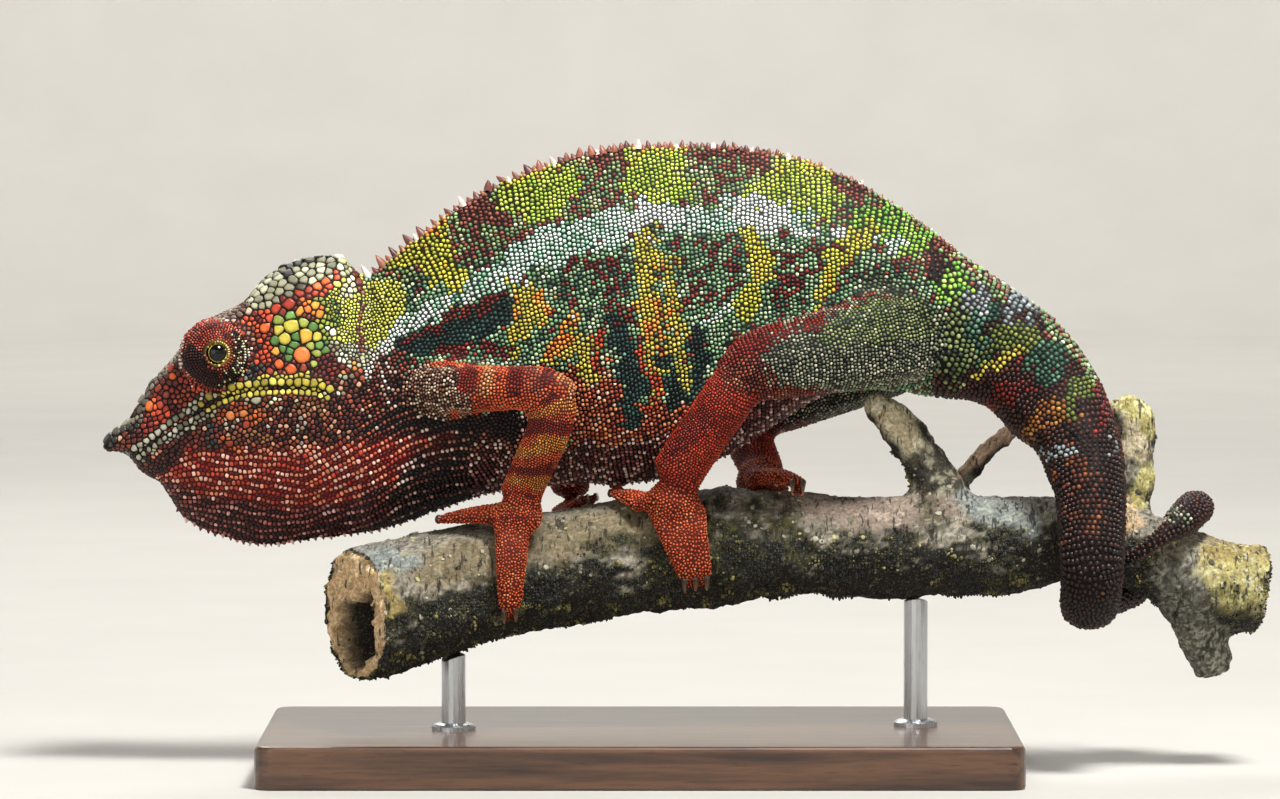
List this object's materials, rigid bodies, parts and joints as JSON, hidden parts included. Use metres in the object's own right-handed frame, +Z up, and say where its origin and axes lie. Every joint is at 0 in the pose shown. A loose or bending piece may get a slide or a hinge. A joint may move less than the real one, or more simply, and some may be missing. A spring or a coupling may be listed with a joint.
{
  "type": "chameleon figure on a perch",
  "caption": "Life-size still model of a panther chameleon gripping a short cut branch, held by rods over a flat museum stand.",
  "frame": {"origin": "middle of the stand base's underside", "axes": "+X from the snout towards the tail, +Z up, the animal's left flank faces -Y"},
  "size_m": [0.2457, 0.086, 0.1325],
  "materials": {
    "hide_green": "matt hide of fine bead scales, green and yellow bands with maroon between",
    "hide_red": "matt hide of fine bead scales, brick red to maroon with orange bands",
    "hide_casque": "low gloss plate scales, grey-green with dark seams",
    "hide_turret": "low gloss fine scales in rings, brick red",
    "eye": "wet gloss, black pupil in a gold ring",
    "bark": "rough matt bark with lichen and moss",
    "stand_wood": "dark oiled wood, satin",
    "stand_steel": "brushed steel rod"
  },
  "bodies": {
    "root": {"neck": "hide_green", "trunk": "hide_green", "tail_root": "hide_green", "tail_bend": "hide_green", "tail_coil_front": "hide_green", "tail_coil_back": "hide_green", "tail_tip": "hide_green", "head": "hide_red", "lower_jaw": "hide_red", "upper_arm_left": "hide_red", "upper_arm_right": "hide_red", "forearm_left": "hide_red", "forearm_right": "hide_red", "forefoot_left": "hide_red", "forefoot_right": "hide_red", "thigh_left": "hide_red", "thigh_right": "hide_red", "shin_left": "hide_red", "shin_right": "hide_red", "hindfoot_left": "hide_red", "hindfoot_right": "hide_red", "casque": "hide_casque", "eye_turret_left": "hide_turret", "eyeball_left": "eye", "eye_turret_right": "hide_turret", "eyeball_right": "eye", "perch_branch": "bark", "perch_stub_left": "bark", "perch_stub_right": "bark", "perch_twig": "bark", "perch_fork": "bark", "stand_base": "stand_wood", "stand_rod_left": "stand_steel", "stand_rod_right": "stand_steel"}
  },
  "joints": []
}
